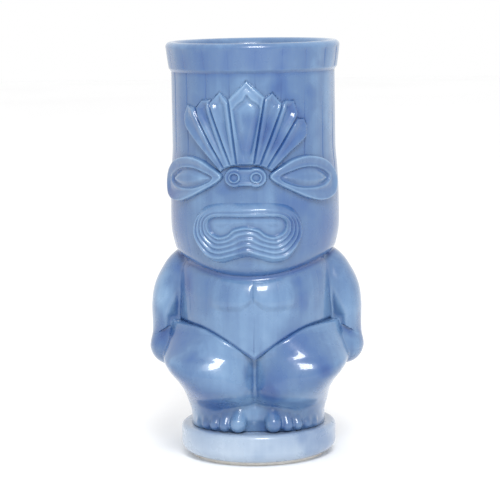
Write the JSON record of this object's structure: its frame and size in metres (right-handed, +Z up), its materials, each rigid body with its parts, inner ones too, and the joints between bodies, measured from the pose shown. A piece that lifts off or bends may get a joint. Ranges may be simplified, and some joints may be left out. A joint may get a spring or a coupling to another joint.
{
  "type": "tiki mug",
  "caption": "Glazed ceramic tiki mug: a tall round cup carved as a standing figure with a feather headdress, almond eyes and a ridged mouth, on a round plinth.",
  "frame": {"origin": "centre of the face the mug rests on, on the cup's axis", "axes": "+Z up, the carved figure faces -Y, +X is the figure's own left"},
  "size_m": [0.093, 0.0766, 0.18],
  "materials": {
    "glaze": "gloss, translucent blue glaze, darker where it pools and paler on ridges",
    "plinth_glaze": "gloss, the same glaze thin and pale",
    "bare_clay": "matt, unglazed"
  },
  "bodies": {
    "root": {"brow_knot": "glaze", "centre_feather": "glaze", "cup_floor": "glaze", "foot_ring": "bare_clay", "head_wall": "glaze", "left_big_toe": "glaze", "left_chest_plate": "glaze", "left_eyeball": "glaze", "left_eyelid": "glaze", "left_foot": "glaze", "left_forearm": "glaze", "left_hand": "glaze", "left_inner_feather": "glaze", "left_knot_disc": "glaze", "left_leg": "glaze", "left_middle_feather": "glaze", "left_outer_feather": "glaze", "left_toe_2": "glaze", "left_toe_3": "glaze", "left_toe_4": "glaze", "left_toe_5": "glaze", "left_upper_arm": "glaze", "leg_wall": "glaze", "mouth_panel": "glaze", "mouth_ridge_1": "glaze", "mouth_ridge_2": "glaze", "mouth_ridge_3": "glaze", "mouth_ridge_4": "glaze", "plinth": "plinth_glaze", "right_big_toe": "glaze", "right_chest_plate": "glaze", "right_eyeball": "glaze", "right_eyelid": "glaze", "right_foot": "glaze", "right_forearm": "glaze", "right_hand": "glaze", "right_inner_feather": "glaze", "right_knot_disc": "glaze", "right_leg": "glaze", "right_middle_feather": "glaze", "right_outer_feather": "glaze", "right_toe_2": "glaze", "right_toe_3": "glaze", "right_toe_4": "glaze", "right_toe_5": "glaze", "right_upper_arm": "glaze", "rim_band": "glaze", "torso_wall": "glaze", "upper_lip": "glaze"}
  },
  "joints": []
}
